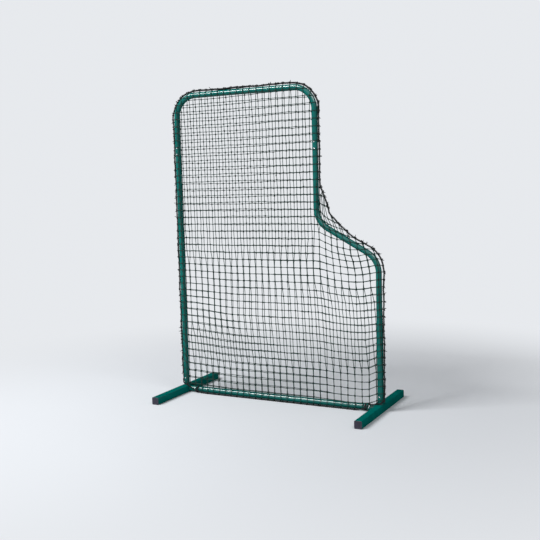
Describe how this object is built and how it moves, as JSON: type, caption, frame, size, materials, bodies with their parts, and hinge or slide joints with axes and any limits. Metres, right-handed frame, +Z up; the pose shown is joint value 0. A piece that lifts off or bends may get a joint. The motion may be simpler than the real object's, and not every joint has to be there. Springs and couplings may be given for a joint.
{
  "type": "pitching screen",
  "caption": "Free-standing pitching screen with a sloping throwing notch, a black pillowcase net on a green tube frame, square-tube feet and spring-button joints.",
  "frame": {"origin": "on the ground, midway between the outer uprights, in the plane of the frame: the bottom centre of the bounding box", "axes": "+Z up; +X to the right as seen from the front, towards the throwing notch; the front, with the spring buttons, faces -Y"},
  "size_m": [1.5512, 0.8128, 2.1437],
  "materials": {
    "green_paint": "gloss",
    "bare_steel": "bright",
    "bright_steel": "polished",
    "black_plastic": "moulded",
    "net_twine": "knotted twine",
    "black_cord": "braided"
  },
  "bodies": {
    "root": {"top_hoop": "green_paint", "left_upright": "green_paint", "right_upright": "green_paint", "bottom_rail": "green_paint", "left_splice_sleeve": "bare_steel", "right_splice_sleeve": "bare_steel", "left_foot_post": "green_paint", "right_foot_post": "green_paint", "left_rail_stub": "green_paint", "right_rail_stub": "green_paint", "left_foot_tube": "green_paint", "right_foot_tube": "green_paint", "left_foot_front_cap": "black_plastic", "left_foot_rear_cap": "black_plastic", "right_foot_front_cap": "black_plastic", "right_foot_rear_cap": "black_plastic", "left_splice_upper_button_spring": "bare_steel", "left_splice_lower_button_spring": "bare_steel", "right_splice_upper_button_spring": "bare_steel", "right_splice_lower_button_spring": "bare_steel", "left_foot_button_spring": "bare_steel", "right_foot_button_spring": "bare_steel", "left_rail_button_spring": "bare_steel", "right_rail_button_spring": "bare_steel", "net_front_panel": "net_twine", "net_rear_panel": "net_twine", "net_border_cord": "black_cord", "net_rear_hem_cord": "black_cord", "left_rail_tie": "black_cord", "right_rail_tie": "black_cord"},
    "left_splice_upper_button": {"left_splice_upper_button": "bright_steel"},
    "left_splice_lower_button": {"left_splice_lower_button": "bright_steel"},
    "right_splice_upper_button": {"right_splice_upper_button": "bright_steel"},
    "right_splice_lower_button": {"right_splice_lower_button": "bright_steel"},
    "left_foot_button": {"left_foot_button": "bright_steel"},
    "right_foot_button": {"right_foot_button": "bright_steel"},
    "left_rail_button": {"left_rail_button": "bright_steel"},
    "right_rail_button": {"right_rail_button": "bright_steel"}
  },
  "joints": [
    {"name": "left_splice_upper_button_press", "type": "slide", "parent": "root", "child": "left_splice_upper_button", "axis": [0, 1, 0], "range_m": [0, 0.0052], "stiffness_N_per_m": 2500, "deforming": ["left_splice_upper_button_spring"]},
    {"name": "left_splice_lower_button_press", "type": "slide", "parent": "root", "child": "left_splice_lower_button", "axis": [0, 1, 0], "range_m": [0, 0.0052], "stiffness_N_per_m": 2500, "deforming": ["left_splice_lower_button_spring"]},
    {"name": "right_splice_upper_button_press", "type": "slide", "parent": "root", "child": "right_splice_upper_button", "axis": [0, 1, 0], "range_m": [0, 0.0052], "stiffness_N_per_m": 2500, "deforming": ["right_splice_upper_button_spring"]},
    {"name": "right_splice_lower_button_press", "type": "slide", "parent": "root", "child": "right_splice_lower_button", "axis": [0, 1, 0], "range_m": [0, 0.0052], "stiffness_N_per_m": 2500, "deforming": ["right_splice_lower_button_spring"]},
    {"name": "left_foot_button_press", "type": "slide", "parent": "root", "child": "left_foot_button", "axis": [0, 1, 0], "range_m": [0, 0.0052], "stiffness_N_per_m": 2500, "deforming": ["left_foot_button_spring"]},
    {"name": "right_foot_button_press", "type": "slide", "parent": "root", "child": "right_foot_button", "axis": [0, 1, 0], "range_m": [0, 0.0052], "stiffness_N_per_m": 2500, "deforming": ["right_foot_button_spring"]},
    {"name": "left_rail_button_press", "type": "slide", "parent": "root", "child": "left_rail_button", "axis": [0, 1, 0], "range_m": [0, 0.0052], "stiffness_N_per_m": 2500, "deforming": ["left_rail_button_spring"]},
    {"name": "right_rail_button_press", "type": "slide", "parent": "root", "child": "right_rail_button", "axis": [0, 1, 0], "range_m": [0, 0.0052], "stiffness_N_per_m": 2500, "deforming": ["right_rail_button_spring"]}
  ]
}
